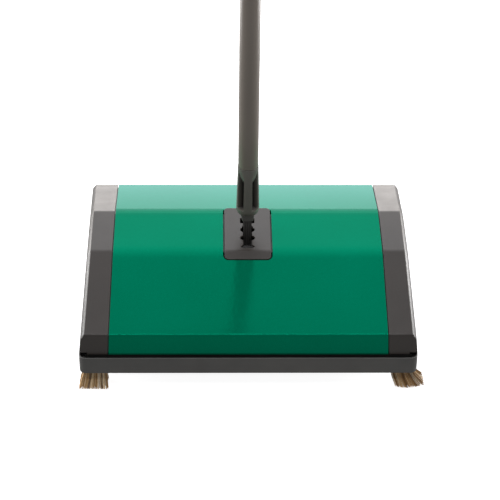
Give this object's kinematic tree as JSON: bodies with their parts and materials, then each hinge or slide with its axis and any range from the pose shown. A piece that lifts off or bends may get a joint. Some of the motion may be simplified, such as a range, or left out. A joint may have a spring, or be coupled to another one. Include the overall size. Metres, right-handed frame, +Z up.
{
  "type": "carpet sweeper",
  "caption": "Manual push carpet sweeper: low wedge-shaped housing with a wheel-driven brush roll, corner brushes, hinged dirt pans and an upright swinging stick handle.",
  "frame": {"origin": "on the floor, under the middle of the housing", "axes": "+Z up, +X to the right, +Y to the rear, away from the user side shown in front"},
  "size_m": [0.321, 0.263, 1.1076],
  "materials": {
    "green_gloss": "glossy moulded green, lightly flaked",
    "dark_plastic": "satin dark taupe moulding",
    "bumper_rubber": "matt soft vinyl",
    "chassis_black": "fine-textured black moulding",
    "steel": "bright plated steel",
    "tube_paint": "satin dark powder coat",
    "tyre_rubber": "matt black rubber",
    "hub_grey": "grey moulding",
    "core_wood": "plain turned wood",
    "bristle": "mixed natural bristle, browns and tans"
  },
  "bodies": {
    "housing": {"top_cover": "green_gloss", "end_cap_left": "dark_plastic", "end_cap_right": "dark_plastic", "bumper_band": "bumper_rubber", "chassis_frame": "chassis_black", "handle_plate": "dark_plastic", "handle_bracket": "chassis_black", "handle_pin": "steel", "detent_spring": "steel", "brush_bush_left": "hub_grey", "brush_bush_right": "hub_grey", "wheel_axle_front_left": "steel", "wheel_axle_front_right": "steel", "wheel_axle_rear_left": "steel", "wheel_axle_rear_right": "steel", "dirt_pan_front_rod": "steel", "dirt_pan_rear_rod": "steel", "dirt_pan_front_spring": "steel", "dirt_pan_rear_spring": "steel", "corner_brush_holder_front_left": "chassis_black", "corner_brush_holder_front_right": "chassis_black", "corner_brush_holder_rear_left": "chassis_black", "corner_brush_holder_rear_right": "chassis_black", "corner_brush_front_left": "bristle", "corner_brush_front_right": "bristle", "corner_brush_rear_left": "bristle", "corner_brush_rear_right": "bristle", "casing_screw_front_left": "steel", "casing_screw_front_right": "steel", "casing_screw_rear_left": "steel", "casing_screw_rear_right": "steel"},
    "brush_roll": {"brush_axle": "steel", "brush_core": "core_wood", "brush_bristles": "bristle", "drive_drum_left": "tyre_rubber", "drive_drum_right": "tyre_rubber"},
    "wheel_front_left": {"wheel_hub_front_left": "hub_grey", "wheel_tyre_front_left": "tyre_rubber"},
    "wheel_front_right": {"wheel_hub_front_right": "hub_grey", "wheel_tyre_front_right": "tyre_rubber"},
    "wheel_rear_left": {"wheel_hub_rear_left": "hub_grey", "wheel_tyre_rear_left": "tyre_rubber"},
    "wheel_rear_right": {"wheel_hub_rear_right": "hub_grey", "wheel_tyre_rear_right": "tyre_rubber"},
    "pan_front": {"dirt_pan_front": "chassis_black"},
    "pan_rear": {"dirt_pan_rear": "chassis_black"},
    "handle": {"handle_yoke": "chassis_black", "handle_socket": "dark_plastic", "handle_tube_lower": "tube_paint", "handle_tube_middle": "tube_paint", "handle_tube_upper": "tube_paint", "handle_grip": "dark_plastic"}
  },
  "joints": [
    {"name": "handle_tilt", "type": "hinge", "parent": "housing", "child": "handle", "pos_m": [0, 0, 0.068], "axis": [1, 0, 0], "range_deg": [-42, 42]},
    {"name": "brush_roll_spin", "type": "hinge", "parent": "housing", "child": "brush_roll", "pos_m": [0, 0, 0.0285], "axis": [1, 0, 0], "continuous": true},
    {"name": "wheel_front_left_spin", "type": "hinge", "parent": "housing", "child": "wheel_front_left", "pos_m": [-0.1395, -0.03822, 0.026], "axis": [1, 0, 0], "continuous": true},
    {"name": "wheel_front_right_spin", "type": "hinge", "parent": "housing", "child": "wheel_front_right", "pos_m": [0.1395, -0.03822, 0.026], "axis": [1, 0, 0], "continuous": true},
    {"name": "wheel_rear_left_spin", "type": "hinge", "parent": "housing", "child": "wheel_rear_left", "pos_m": [-0.1395, 0.03822, 0.026], "axis": [1, 0, 0], "continuous": true},
    {"name": "wheel_rear_right_spin", "type": "hinge", "parent": "housing", "child": "wheel_rear_right", "pos_m": [0.1395, 0.03822, 0.026], "axis": [1, 0, 0], "continuous": true},
    {"name": "pan_front_open", "type": "hinge", "parent": "housing", "child": "pan_front", "pos_m": [0, -0.1115, 0.028], "axis": [-1, 0, 0], "range_deg": [0, 30], "stiffness_Nm_per_rad": 0.1, "springref_deg": -45.84},
    {"name": "pan_rear_open", "type": "hinge", "parent": "housing", "child": "pan_rear", "pos_m": [0, 0.1115, 0.028], "axis": [1, 0, 0], "range_deg": [0, 30], "stiffness_Nm_per_rad": 0.1, "springref_deg": -45.84}
  ],
  "couplings": [
    {"joint": "wheel_front_left_spin", "follows": "brush_roll_spin", "ratio": -0.46154},
    {"joint": "wheel_front_right_spin", "follows": "brush_roll_spin", "ratio": -0.46154},
    {"joint": "wheel_rear_left_spin", "follows": "brush_roll_spin", "ratio": -0.46154},
    {"joint": "wheel_rear_right_spin", "follows": "brush_roll_spin", "ratio": -0.46154}
  ]
}
